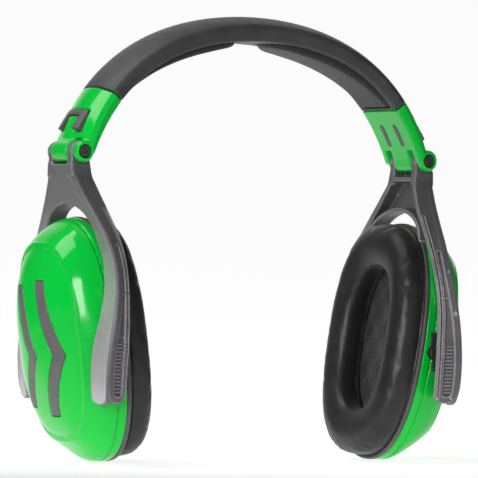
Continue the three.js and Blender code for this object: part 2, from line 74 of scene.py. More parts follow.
joints = {joint["name"]: joint for joint in frame["joints"]}
mounts = {mount["name"]: mount for mount in frame["record"]["mounts"]}
_, shell_high = box_mm("headband_shell")
plate_low, plate_high = box_mm("right_cup_baseplate")
fork_low, _ = box_mm("right_fork")
PIN = np.array(joints["right_fold"]["pos_m"]) / MM
STUD = np.array(joints["right_tilt"]["pos_m"]) / MM

# headband arch: half an ellipse, with places along it given in degrees from the top
ARCH_WIDTH = 84.0
ARCH_HEIGHT = 73.8
ARCH_Z = shell_high[2] - ARCH_HEIGHT
CROWN_THICKNESS = 10.3
END_THICKNESS = 9.0
BAND_WIDTH = 15.6  # half of the band's width
BAND_CROWN = 4.3
SHELL_END = 54.0
MM_PER_DEGREE = 1.37  # along the arch, near its ends
PAD_START = 5.0
PAD_END = SHELL_END - 1.2
PAD_WIDTH = 10.6
PAD_PROUD = 2.8
SHOULDER_RISE = 1.4
HINGE_ANGLE = 75.0
GAP = 0.3

# fold hinge
TONGUE_WIDTH = 6.6
LUG_INNER = 6.9
LUG_OUTER = 10.5
LUG_RADIUS = 4.2
PIN_RADIUS = 1.5
COUNTERBORE_RADIUS = 2.75
COUNTERBORE_FLOOR = 12.2

# cup, measured from its rim plane
CUP_AXIS = -np.array(mounts["right_cushion_face"]["axis"])
CUP_TILT = math.asin(-CUP_AXIS[2])
PLATE_THICKNESS = 2.6
CUP_CENTRE = (plate_low + plate_high) / 2 + CUP_AXIS * (PLATE_THICKNESS + GAP) / 2
RIM_WIDTH = 31.0
RIM_HEIGHT = 48.5
RIM_POWER = 2.3  # 2 would make the rim an ellipse, and more makes it squarer
DOME_DEPTH = 26.6
CUP_WALL = 2.6
CUSHION_BASE = -1.5
CUSHION_THICKNESS = 11.5
CUSHION_WIDTH = 31.7
CUSHION_HEIGHT = 48.4
EAR_WIDTH = 16.0
EAR_HEIGHT = 27.8


# ---- distance fields ----------------------------------------------------------------------------
# A field gives the distance from a solid's surface, negative inside. Fields are joined and cut
# with rounded edges, and then meshed.
def both(a, b, radius=0.0):
    """The intersection, its edge rounded."""
    if radius == 0:
        return np.maximum(a, b)
    corner = np.hypot(np.maximum(a + radius, 0), np.maximum(b + radius, 0))
    return np.minimum(np.maximum(a, b), -radius) + corner


def either(a, b, radius=0.0):
    """The union, with a fillet where the two meet."""
    return -both(-a, -b, radius)


def without(a, b, radius=0.0):
    return both(a, -b, radius)


def slab(value, low, high):
    return np.maximum(low - value, value - high)


def disc(u, v, radius):
    return np.hypot(u, v) - radius


def smooth_curve(knots):
    """A smooth function through (at, value) knots in rising order."""
    at, value = np.array(knots, float).T
    slope = np.gradient(value, at)

    def curve(x):
        x = np.clip(x, at[0], at[-1])
        i = np.clip(np.searchsorted(at, x) - 1, 0, len(at) - 2)
        span = at[i + 1] - at[i]
        t = (x - at[i]) / span
        ease = t * t * (3 - 2 * t)
        bend = slope[i] * t * (1 - t) ** 2 - slope[i + 1] * t * t * (1 - t)
        return value[i] + (value[i + 1] - value[i]) * ease + span * bend

    return curve


def crossings(values):
    """Where the zero surface crosses each grid edge, and the four cells around that edge."""
    size = values.shape
    for axis in range(3):
        u, v = (axis + 1) % 3, (axis + 2) % 3
        low = np.take(values, range(size[axis] - 1), axis)
        high = np.take(values, range(1, size[axis]), axis)
        at = np.argwhere((low < 0) != (high < 0))
        before, after = low[tuple(at.T)], high[tuple(at.T)]
        point = at.astype(float)
        point[:, axis] += before / (before - after)
        ring = np.repeat(at[:, None, :], 4, axis=1)
        ring[:, 1:3, u] -= 1
        ring[:, 2:4, v] -= 1
        ring[before >= 0] = ring[before >= 0][:, ::-1]
        yield point, np.ravel_multi_index(tuple(np.moveaxis(ring, 2, 0)), size)


def settle(points, field, reach):
    """Moves the points onto the field's zero surface."""
    small = 0.02
    for _ in range(4):
        x, y, z = points.T
        value = field(x, y, z)
        slope = np.stack([
            field(x + small, y, z) - field(x - small, y, z),
            field(x, y + small, z) - field(x, y - small, z),
            field(x, y, z + small) - field(x, y, z - small),
        ], 1) / (2 * small)
        steepness = np.maximum((slope ** 2).sum(1), 0.05)
        step = np.clip(value / steepness, -reach, reach)[:, None] * slope
        points = points - np.clip(step, -reach, reach)
    return points


def mesh_field(field, low, high, step):
    """Points and quads on the surface of a field, within a box."""
    axes = [np.arange(a - step, b + 2 * step, step) for a, b in zip(low, high)]
    grid = np.meshgrid(*axes, indexing="ij")
    values = field(*grid)
    points, cells = zip(*crossings(values))
    cells = np.concatenate(cells)
    _, corners = np.unique(cells, return_inverse=True)
    corners = corners.reshape(cells.shape)
    edge_points = np.repeat(np.concatenate(points), 4, axis=0)
    count = np.bincount(corners.ravel())
    middle = np.stack([np.bincount(corners.ravel(), edge_points[:, k]) for k in range(3)], 1)
    middle = middle / count[:, None] * step + [axis[0] for axis in axes]
    return settle(middle, field, step / 2), corners


# ---- objects from points and faces --------------------------------------------------------------
def make_object(name, points, faces, material):
    mesh = bpy.data.meshes.new(name)
    mesh.from_pydata((np.asarray(points) * MM).tolist(), [], [tuple(face) for face in faces])
    mesh.polygons.foreach_set("use_smooth", [True] * len(mesh.polygons))
    mesh.update()
    piece = bpy.data.objects.new(name, mesh)
    bpy.context.scene.collection.objects.link(piece)
    mesh.materials.append(material)
    return piece


def mirrored(points, faces):
    return np.asarray(points) * [-1, 1, 1], [tuple(face)[::-1] for face in faces]


SIDES = {"right": lambda points, faces: (points, faces), "left": mirrored}


# ---- headband -----------------------------------------------------------------------------------
def along_arch(x, z):
    """The place along the arch, in degrees, and the height over its outer surface."""
    up = z - ARCH_Z
    turn = np.arctan2(x / ARCH_WIDTH, up / ARCH_HEIGHT)
    for _ in range(3):
        sin, cos = np.sin(turn), np.cos(turn)
        off_x, off_z = x - ARCH_WIDTH * sin, up - ARCH_HEIGHT * cos
        lean = off_x * ARCH_WIDTH * cos - off_z * ARCH_HEIGHT * sin
        stretch = (ARCH_WIDTH * cos) ** 2 + (ARCH_HEIGHT * sin) ** 2
        change = stretch + off_x * ARCH_WIDTH * sin + off_z * ARCH_HEIGHT * cos
        turn = turn + lean / np.maximum(change, 100)
    sin, cos = np.sin(turn), np.cos(turn)
    normal = np.stack([sin / ARCH_WIDTH, cos / ARCH_HEIGHT])
    normal /= np.hypot(*normal)
    height = (x - ARCH_WIDTH * sin) * normal[0] + (up - ARCH_HEIGHT * cos) * normal[1]
    angle = np.degrees(turn)
    shoulder = SHOULDER_RISE * np.sin(math.pi * np.minimum(angle / HINGE_ANGLE, 1)) ** 2
    return angle, height - shoulder


def band_thickness(angle):
    share = np.minimum(np.abs(angle) / SHELL_END, 1) ** 2
    return CROWN_THICKNESS + (END_THICKNESS - CROWN_THICKNESS) * share


def band_section(y, height, thickness):
    """The band's section: crowned outside, flat inside, narrower towards the inside."""
    outside = (height + BAND_CROWN * (y / BAND_WIDTH) ** 2) * 0.93
    inside = -height - thickness
    side = (np.abs(y) - BAND_WIDTH - (height + 3.5) * 0.24) * 0.97
    return both(both(outside, side, 2.0), inside, 1.0)


def stadium(along, y, half_width):
    """A strip with a round start: the distance inside its outline, along being from its start."""
    centre = np.minimum(along - half_width, 0)
    return np.where(along < half_width, np.hypot(centre, y), np.abs(y)) - half_width


def pad_outline(angle, y, half_width, start, end):
    along = (angle - start) * 1.42
    return both(stadium(along, y, half_width), (angle - end) * MM_PER_DEGREE, 0.8)


def shell_field(x, y, z):
    angle, height = along_arch(np.abs(x), z)
    body = band_section(y, height, band_thickness(angle))
    body = both(body, (angle - SHELL_END) * MM_PER_DEGREE, 0.35)
    recess = pad_outline(angle, y, PAD_WIDTH + 0.3, PAD_START - 0.2, PAD_END + 0.25)
    recess = both(recess, height + band_thickness(angle) - 2.0)
    return without(body, recess, 0.3)


def pad_field(x, y, z):
    angle, height = along_arch(x, z)
    outline = pad_outline(angle, y, PAD_WIDTH, PAD_START, PAD_END)
    share = np.clip((angle - PAD_START) / (PAD_END - PAD_START), 0, 1)
    proud = PAD_PROUD * np.sin(math.pi * share ** 0.7) ** 0.7 * (1 - 0.12 * (y / PAD_WIDTH) ** 2) + 0.3
    thickness = band_thickness(angle)
    surface = -height - thickness - proud
    return both(both(outline, surface, 1.7), height + thickness - 1.9)


# ---- band end, grip key and hinge ---------------------------------------------------------------
KEY_TOP = 62.0
KEY_BOTTOM = 68.9
KEY_BAR = 2.7
KEY_WIDTH = 8.8
KEY_LEG = 3.9


def end_thickness(angle):
    share = np.clip((angle - SHELL_END) / (HINGE_ANGLE - SHELL_END), 0, 1)
    return END_THICKNESS - 1.5 * share ** 1.5


def key_outline(angle, y, margin=0.0):
    along = (angle - KEY_TOP) * 1.32
    length = (KEY_BOTTOM - KEY_TOP) * 1.32
    y = np.abs(y)
    outside = both(slab(along, -margin, length + margin), y - KEY_WIDTH - margin, 0.9)
    notch = both(KEY_BAR + margin - along, y - KEY_WIDTH + KEY_LEG + margin, 0.4)
    return without(outside, notch, 0.3)


def knuckle_field(x, y, z):
    """A domed outer knuckle, a little taller than it is deep, and smaller behind."""
    off_x, off_z = x - PIN[0], (z - PIN[2]) / 1.14
    depth = np.abs(y) - LUG_OUTER - GAP
    round_side = disc(off_x, off_z, np.where(y < 0, 3.8, 3.3))
    face = depth - np.where(y < 0, 4.5, 3.8)
    return both(both(round_side, face, 2.0), -depth, 0.3)


def tongue_field(x, y, z):
    off_x, off_z = x - PIN[0], z - PIN[2]
    bulge = disc(off_x, off_z, 5.0)
    back = -4.6 - off_x
    sole = -4.7 - off_z
    body = both(both(bulge, back, 1.5), sole, 1.0)
    return both(body, np.abs(y) - TONGUE_WIDTH + 0.05, 0.8)


def band_end_field(x, y, z):
    angle, height = along_arch(x, z)
    towards = np.clip((angle - SHELL_END) / (HINGE_ANGLE - SHELL_END), 0, 1)
    body = band_section(y, height + 0.5 * towards ** 2, end_thickness(angle))
    body = both(body, (SHELL_END + 0.3 - angle) * MM_PER_DEGREE, 0.35)
    wall = both((angle - 76) * 1.3, PIN[2] - 2 - z, 2.0)
    body = both(body, wall, 2.0)
    body = either(body, knuckle_field(x, y, z), 0.5)
    off_x, off_z = x - PIN[0], z - PIN[2]
    beside = slab(np.abs(y), TONGUE_WIDTH, LUG_OUTER + GAP)
    clear = disc(off_x, off_z, LUG_RADIUS + 0.9)
    below = both(both(off_z, off_x - 7.5), -9 - off_x)
    inward = both(both(np.abs(off_z) - LUG_RADIUS, off_x), -12 - off_x)
    slot = both(np.minimum(np.minimum(clear, below), inward), beside, 0.0)
    body = without(body, slot, 0.25)
    body = either(body, tongue_field(x, y, z), 0.8)
    bore = both(disc(off_x, off_z, PIN_RADIUS + 0.15), np.abs(y) - 20)
    sink = both(disc(off_x, off_z, COUNTERBORE_RADIUS), COUNTERBORE_FLOOR - np.abs(y))
    body = without(without(body, sink, 0.5), bore)
    pocket = both(key_outline(angle, y, 0.28), -height - BAND_CROWN * (y / BAND_WIDTH) ** 2 - 1.6)
    return without(body, pocket, 0.2)


def key_field(x, y, z):
    angle, height = along_arch(x, z)
    surface = height + BAND_CROWN * (y / BAND_WIDTH) ** 2
    rise = 0.4 + 1.2 * np.clip((angle - KEY_TOP) / (KEY_BOTTOM - KEY_TOP), 0, 1)
    return both(both(key_outline(angle, y), surface - rise, 0.45), -surface - 1.4)


def foot_field(x, y, z):
    """The two grip inlays on the inside of the band end."""
    angle, height = along_arch(x, z)
    across = np.abs(y) - 5.2
    along = (angle - 64.2) * 1.3
    outline = disc(np.maximum(np.abs(along) - 4.2, 0), across, 1.6)
    depth = -height - end_thickness(angle)
    return both(both(outline, depth - 0.28, 0.25), -depth - 1.0)


# ---- fork ---------------------------------------------------------------------------------------
# The arms by height under the pin. Their outer corner: distance outward from the pin and from the
# middle plane; half the width of the opening; the width of the side wall, and how many degrees it
# slants inward; how far the outer wall leans outward, towards the opening.
corner_x = smooth_curve([
    (-102, -0.6), (-93, 0.6), (-83, 0.9), (-73, 0.2), (-63, -1), (-53, -2.2),
    (-43, -2.6), (-33, -1.6), (-24, 0.2), (-15, 2.2), (-7, 3.6), (-4, 4),
])
corner_y = smooth_curve([
    (-102, 37.4), (-93, 40), (-83, 41.2), (-73, 42), (-63, 42.2), (-53, 40.8),
    (-43, 37.4), (-33, 31.2), (-24, 23.2), (-15, 15.4), (-7, 10.6), (-4, 10.2),
])
opening_width = smooth_curve([
    (-103, 29), (-90, 29.5), (-78, 29.7), (-63, 31), (-53, 30), (-43, 27), (-33, 21.6), (-27, 17.5),
])
side_width = smooth_curve([
    (-98, 9.4), (-88, 10.2), (-77, 10), (-68, 9.2), (-60, 8.2), (-53, 7.5), (-43, 7.2), (-28, 7.8),
    (-14, 8.3), (-4, 7.6),
])
side_slant = smooth_curve([
    (-90, 18), (-75, 19), (-60, 25), (-50, 26), (-38, 22), (-28, 15), (-15, 5), (-4, 2),
])
outer_lean = smooth_curve([(-90, 0.2), (-72, 0.16), (-52, 0.03), (-40, 0)])
FORK_WALL = 2.6
SIDE_WALL = 2.3
FORK_TOP = -4.9
FORK_TIP = fork_low[2] - PIN[2] + 0.4
TIP_RADIUS = 5.6
TIP_MIDDLE = 34.0
ARCH_MIDDLE = -34.8  # of the opening's round top
ARCH_REACH = 21.5
ARCH_RISE = 14.2
CROSS_RIB = -55.0
NOTCH = -67.0
RIB_PITCH = 1.43
RIBS_TOP = -73.0
POCKET_TOP = -36.0
SOFFIT_END = -33.0


def steepness(curve, at):
    """The share of a distance that is left when it is measured square to a sloping curve."""
    return 1 / np.hypot(1, curve(at + 0.5) - curve(at - 0.5))


def opening_distance(y, off_z):
    """Distance from the outline of the opening between the arms, negative in the opening."""
    u, v = y / ARCH_REACH, (off_z - ARCH_MIDDLE) / ARCH_RISE
    size = np.hypot(u, v) + 1e-6
    arch = (size - 1) * size / (np.hypot(u / ARCH_REACH, v / ARCH_RISE) + 1e-6)
    legs = (y - opening_width(off_z)) * steepness(opening_width, off_z)
    return either(arch, both(legs, off_z + 31, 0.5), 1.5)


def side_details(across, width, tip, off_z, out):
    """What is cut from and added to a side wall: a ribbed pocket and a slot between thin rims."""
    outline = np.maximum(np.maximum(-across, across - width), tip)
    pocket = both(outline + 2.5, across - width + 2.7, 0.8)
    pocket = both(pocket, off_z - POCKET_TOP, 1.2)
    slot = both(slab(across, width - 2.1, width - 0.9), outline + 0.9, 0.3)
    slot = both(slot, off_z + 22, 0.4)
    rims = np.minimum(np.abs(pocket) - 0.42, np.abs(slot) - 0.36)
    rims = both(both(rims, outline + 0.35, 0.2), out - 0.3, 0.3)
    notch = both(np.abs(off_z - NOTCH) - 0.45, width - 2.2 - across)
    bars = np.minimum(np.abs(off_z - CROSS_RIB) - 0.45, notch)
    teeth = 0.28 * np.cos(off_z * 2 * math.pi / RIB_PITCH) - 0.55
    floor = np.where(off_z < RIBS_TOP, teeth, -0.8)
    hollow = both(without(np.minimum(pocket, slot), bars, 0.1), floor - out)
    return hollow, both(rims, -out - 0.6)


def fork_field(x, y, z):
    y = np.abs(y)
    off_z = z - PIN[2]
    in_x, in_y = x - PIN[0] - corner_x(off_z), y - corner_y(off_z)
    width = side_width(off_z)
    slope = steepness(corner_y, off_z)
    slant = np.radians(side_slant(off_z))
    cos, sin = np.cos(slant), np.sin(slant)
    across = -in_x * cos - in_y * sin
    out = (-in_x * sin + in_y * cos) * slope
    outer = (in_x - 0.5 + outer_lean(off_z) * in_y) * 0.98
    corner = both(outer, out, 1.7)
    # the end of each arm, round when seen from outside and from the front
    drop = np.minimum(off_z - FORK_TIP - TIP_RADIUS, 0)
    outside_tip = np.hypot(y - TIP_MIDDLE, drop * 1.05) - TIP_RADIUS - 1.0
    outside_tip = np.where(drop < 0, outside_tip, -4.0)
    side_tip = np.hypot(across - width / 2, drop) - TIP_RADIUS
    side_tip = np.where(drop < 0, side_tip, -4.0)
    # the outer wall, with the opening
    wall = both(corner, -outer - FORK_WALL, 0.3)
    wall = both(wall, -opening_distance(y, off_z), 0.7)
    wall = both(wall, outside_tip, 0.7)
    # the side wall, with its rims and pockets
    side = both(corner, -out - SIDE_WALL, 0.3)
    side = both(side, np.maximum(across - width, side_tip), 0.6)
    hollow, rims = side_details(across, width, side_tip, off_z, out)
    side = without(side, hollow, 0.25)
    side = either(side, rims, 0.2)
    field = either(wall, side, 0.8)
    field = both(field, off_z - FORK_TOP, 0.6)
    # the soffit round the top of the opening
    edge = opening_distance(y, off_z)
    soffit = both(both(slab(edge, 0, 1.5), slab(in_x, -7.4, 0), 0.4), SOFFIT_END - off_z, 1.0)
    field = either(field, soffit, 0.6)
    # the lugs and the web between them
    off_x = x - PIN[0]
    neck = both(both(np.abs(off_x) - LUG_RADIUS + 0.15, off_z), -9.5 - off_z)
    lug = np.minimum(disc(off_x, off_z, LUG_RADIUS), neck)
    lug = both(lug, slab(y, LUG_INNER, LUG_OUTER), 0.5)
    field = either(field, lug, 1.6)
    web = both(both(slab(off_z, -8.4, -6.4), slab(off_x, -4.3, 2.5), 0.5), y - LUG_OUTER)
    field = either(field, web, 0.5)
    return without(field, disc(off_x, off_z, PIN_RADIUS + 0.15), 0.2)


# ---- cup ----------------------------------------------------------------------------------------
def cup_space(x, z):
    """Depth outward from the rim plane, and height along the cup."""
    off_x, off_z = x - CUP_CENTRE[0], z - CUP_CENTRE[2]
    cos, sin = math.cos(CUP_TILT), math.sin(CUP_TILT)
    return off_x * cos - off_z * sin, off_x * sin + off_z * cos


def from_cup(depth, y, up):
    cos, sin = math.cos(CUP_TILT), math.sin(CUP_TILT)
    x = CUP_CENTRE[0] + depth * cos + up * sin
    z = CUP_CENTRE[2] - depth * sin + up * cos
    return np.stack([x, y, z], -1)


def oval_size(y, up, half_width, half_height, power):
    u, v = np.abs(y) / half_width, np.abs(up) / half_height
    return (u ** power + v ** power + 1e-9) ** (1 / power)


def oval(y, up, half_width, half_height):
    """Distance from an oval's outline."""
    u, v = np.abs(y) / half_width, np.abs(up) / half_height
    size = (u ** RIM_POWER + v ** RIM_POWER + 1e-12) ** (1 / RIM_POWER)
    steep = np.hypot(u ** (RIM_POWER - 1) / half_width, v ** (RIM_POWER - 1) / half_height)
    steep = np.maximum(steep / np.maximum(size, 1e-3) ** (RIM_POWER - 1), 1 / half_height)
    return (size - 1) / steep


# The dome is a shallow base with a raised face on it. The outline of each shrinks with depth, from
# the rim's size or a share of it to nothing, and the two are blended where they meet.
DOME_BLEND = 9.0
BASE_DEPTH = 16.5
FACE_START = 9.0
FACE_SHARE = 0.885


def base_shape(depth, y, up):
    risen = np.clip(depth / BASE_DEPTH, 0, 1)
    past = 0.05 * np.maximum(depth - BASE_DEPTH, 0)
    return oval_size(y, up, RIM_WIDTH, RIM_HEIGHT, 2.25) - np.sqrt(1 - risen ** 3.4) + past


def face_shape(depth, y, up):
    risen = np.clip((depth - FACE_START) / (DOME_DEPTH - FACE_START), 0, 1)
    top = 1.02 - 0.05 * risen ** 2 - 0.3 * risen ** 8
    bottom = 0.965 - 0.03 * risen ** 2 - 0.2 * risen ** 8
    height = RIM_HEIGHT * np.where(up > 0, top, bottom)
    past = 0.05 * np.maximum(depth - DOME_DEPTH, 0)
    return oval_size(y, up, RIM_WIDTH, height, 2.9) - FACE_SHARE * np.sqrt(1 - risen ** 1.85) + past


def true_distance(shape, *place):
    """The distance from a shape's surface, from a value in any unit."""
    small = 0.05
    value = shape(*place)
    slopes = 0
    for axis in range(3):
        moved = [p + small if i == axis else p for i, p in enumerate(place)]
        slopes = slopes + (shape(*moved) - value) ** 2
    return value / np.clip(np.sqrt(slopes) / small, 0.012, 0.3)


def dome_distance(depth, y, up):
    base = true_distance(base_shape, depth, y, up)
    face = true_distance(face_shape, depth, y, up)
    blend = np.maximum(1 - np.abs(base - face) / DOME_BLEND, 0)
    return np.minimum(base, face) - blend ** 3 * DOME_BLEND / 6 + 0.35


# The chevron strips, seen along the cup's depth: (y, up) of the upper end, vertex and lower end.
FRONT_CHEVRON = ((-6.5, 26), (-17.0, -3), (-6.5, -27))
REAR_CHEVRON = ((11.0, 24), (-2.5, -3), (11.0, -24))
STRIP_WIDTH = 2.3
STRIP_DEPTH = 1.2

# The skirt's groove, and the stud on each carrier that turns in a boss of the shell.
GROOVE_LOW, GROOVE_HIGH = 3.4, 4.1
BOSS_RADIUS = 3.6
BOSS_INNER, BOSS_OUTER = 26.4, 30.2
STUD_RADIUS = 2.1
STUD_INNER = 28.8
STUD_HOLE_RADIUS = 2.35
STUD_HOLE_INNER = 28.5
CARRIER_INNER = 32.4
CARRIER_LEAN = math.tan(math.radians(3))


def chevron(y, up, points, margin=0.0):
    """Distance from a chevron ribbon's outline."""
    ys, ups = zip(*points)
    middle = np.interp(up, ups[::-1], ys[::-1])
    slope_up = (ys[0] - ys[1]) / (ups[0] - ups[1])
    slope_down = (ys[1] - ys[2]) / (ups[1] - ups[2])
    slope = np.where(up > ups[1], slope_up, slope_down)
    width = STRIP_WIDTH + 0.022 * np.abs(up - ups[1])
    across = np.abs(y - middle) / np.hypot(1, slope) - width - margin
    return both(across, slab(up, ups[2] - margin, ups[0] + margin), 0.6)


def cup_shell_field(x, y, z):
    depth, up = cup_space(x, z)
    outside = dome_distance(depth, y, up)
    groove = both(slab(depth, GROOVE_LOW, GROOVE_HIGH), -outside - 0.45)
    body = both(without(outside, groove, 0.3), -depth, 0.4)
    inside = outside + CUP_WALL
    body = without(body, inside)
    for points in (FRONT_CHEVRON, REAR_CHEVRON):
        seat = both(chevron(y, up, points, 0.28), both(-outside - STRIP_DEPTH - 0.3, 8 - depth))
        body = without(body, seat, 0.15)
    for sign in (-1, 1):
        off = disc(x - STUD[0], z - STUD[2], BOSS_RADIUS)
        boss = both(off, slab(sign * y, BOSS_INNER, BOSS_OUTER), 0.3)
        body = either(body, boss, 0.3)
        hole = disc(x - STUD[0], z - STUD[2], STUD_HOLE_RADIUS)
        hole = both(hole, STUD_HOLE_INNER - sign * y)
        body = without(body, hole, 0.1)
    return body


def strip_field(points):
    def field(x, y, z):
        depth, up = cup_space(x, z)
        outside = dome_distance(depth, y, up)
        shape = both(chevron(y, up, points), outside + 0.08, 0.3)
        return both(both(shape, -outside - STRIP_DEPTH), 8 - depth)
    return field


def plate_field(x, y, z):
    depth, up = cup_space(x, z)
    outline = oval(y, up, RIM_WIDTH + 0.2, RIM_HEIGHT)
    hole = oval(y, up, EAR_WIDTH + 3.5, EAR_HEIGHT + 4)
    body = both(slab(depth, -1.6, -0.1), outline, 0.6)
    # a raised bead along the edge, on the cushion's side
    bead = np.hypot(outline + 0.6, depth + 1.6) - 0.45
    return without(either(body, bead, 0.2), hole, 0.3)


def clip_ring_field(x, y, z):
    depth, up = cup_space(x, z)
    outline = oval(y, up, CUSHION_WIDTH - 1.6, CUSHION_HEIGHT - 1.6)
    hole = oval(y, up, EAR_WIDTH + 2.5, EAR_HEIGHT + 3)
    return both(both(outline, slab(depth, -2.9, -1.55), 0.3), -hole, 0.3)


def foam_field(x, y, z):
    depth, up = cup_space(x, z)
    inside = dome_distance(depth, y, up) + CUP_WALL + 0.15
    waves = 0.35 * np.sin(y * 0.55) * np.sin(up * 0.4)
    return both(inside, 0.9 + waves - depth, 0.5)


def carrier_field(sign):
    def field(x, y, z):
        off_z = z - STUD[2]
        off_x = x - STUD[0] + CARRIER_LEAN * off_z
        y = sign * y
        block = both(slab(off_x, -2.2, 2.6), np.abs(off_z) - 8, 0.6)
        back = y - CARRIER_INNER - 0.9 - 0.12 * off_x
        body = both(both(block, back, 0.3), CARRIER_INNER - y, 0.3)
        teeth = 0.22 * np.cos(off_z * 2 * math.pi / RIB_PITCH)
        body = both(body, back + 0.25 - teeth)
        stud = disc(x - STUD[0], off_z, STUD_RADIUS)
        stud = both(stud, slab(y, STUD_INNER, CARRIER_INNER + 0.4), 0.3)
        return either(body, stud, 0.3)
    return field


def applied(piece):
    """The points and faces of a piece with its modifiers."""
    shape = piece.evaluated_get(bpy.context.evaluated_depsgraph_get()).data
    points = np.empty(len(shape.vertices) * 3)
    shape.vertices.foreach_get("co", points)
    return points.reshape(-1, 3), [tuple(face.vertices) for face in shape.polygons]


def thinned(points, faces, keep):
    """The same surface with a share of its faces, which stay small where it curves most."""
    dense = make_object("dense", points, faces, MATERIALS["band"])
    dense.modifiers.new("thin", "DECIMATE").ratio = keep
    points, faces = applied(dense)
    bpy.data.objects.remove(dense)
    return points / MM, faces


# ---- ear cushion --------------------------------------------------------------------------------
SWELL = 0.8  # how much smaller the cushion's cover starts, before it is filled
SIMULATION_SCALE = 10.0


def cushion_start(inset):
    """A closed ring that lies on the cup's plate: flat below, with a broad, rounded face."""
    around_steps, section_steps = (144, 40)
    around, turn = np.meshgrid(
        np.linspace(0, 2 * math.pi, around_steps, endpoint=False),
        np.linspace(0, 2 * math.pi, section_steps, endpoint=False),
        indexing="ij",
    )
    cos, sin = np.cos(turn), np.sin(turn)
    breadth = CUSHION_WIDTH - EAR_WIDTH
    across = 0.5 + (0.5 - inset / breadth) * np.sign(cos) * np.abs(cos) ** 0.54
    rise = np.where(sin > 0, np.abs(sin) ** 0.64, -np.abs(sin) ** 0.35)
    height = CUSHION_THICKNESS / 2 + (CUSHION_THICKNESS / 2 - inset * (rise > 0)) * rise
    half_width = EAR_WIDTH + breadth * across
    half_height = EAR_HEIGHT + (CUSHION_HEIGHT - EAR_HEIGHT) * across
    sin, cos = np.sin(around), np.cos(around)
    y = half_width * np.sign(sin) * np.abs(sin) ** 0.78
    up = half_height * np.sign(cos) * np.abs(cos) ** 0.82
    points = from_cup(CUSHION_BASE - height, y, up).reshape(-1, 3)
    index = np.arange(len(points)).reshape(around_steps, section_steps)
    ahead = np.roll(index, -1, 0)
    quads = np.stack([index, ahead, np.roll(ahead, -1, 1), np.roll(index, -1, 1)], -1)
    return points, quads.reshape(-1, 4)


def fill_with_air(points, faces, voxel, cap):
    """Swells a cover by cloth simulation, and smooths it once. The part on the plate is held."""
    scale = SIMULATION_SCALE
    cover = make_object("cover", points * scale, faces, MATERIALS["leatherette"])
    remesh = cover.modifiers.new("remesh", "REMESH")
    remesh.mode = "VOXEL"
    remesh.voxel_size = voxel * scale * MM
    start, faces = applied(cover)
    bpy.data.objects.remove(cover)

    cover = make_object("cover", start / MM, faces, MATERIALS["leatherette"])
    x, _, z = (start / MM / scale).T
    depth, _ = cup_space(x, z)
    held = cover.vertex_groups.new(name="held")
    held.add(np.flatnonzero(depth > CUSHION_BASE - 1.4).tolist(), 1.0, "REPLACE")
    cloth = cover.modifiers.new("cloth", "CLOTH")
    settings = cloth.settings
    settings.quality = 6
    settings.mass = 0.3
    settings.tension_stiffness = settings.compression_stiffness = 12
    settings.shear_stiffness = 4
    settings.bending_stiffness = 0.4
    settings.vertex_group_mass = "held"
    settings.use_pressure = True
    settings.uniform_pressure_force = 4
    settings.effector_weights.gravity = 0
    cloth.point_cache.frame_start, cloth.point_cache.frame_end = 1, 20
    for time in range(1, 21):
        bpy.context.scene.frame_set(time)
        filled, _ = applied(cover)
    bpy.context.scene.frame_set(1)
    bpy.data.objects.remove(cover)

    move = filled - start
    length = np.linalg.norm(move, axis=1, keepdims=True)
    filled = start + move * np.minimum(1, cap * scale * MM / np.maximum(length, 1e-9))
    cover = make_object("cover", filled / MM / scale, faces, MATERIALS["leatherette"])
    cover.modifiers.new("subdivision", "SUBSURF").levels = 1
    filled, faces = applied(cover)
    bpy.data.objects.remove(cover)
    return filled / MM, faces


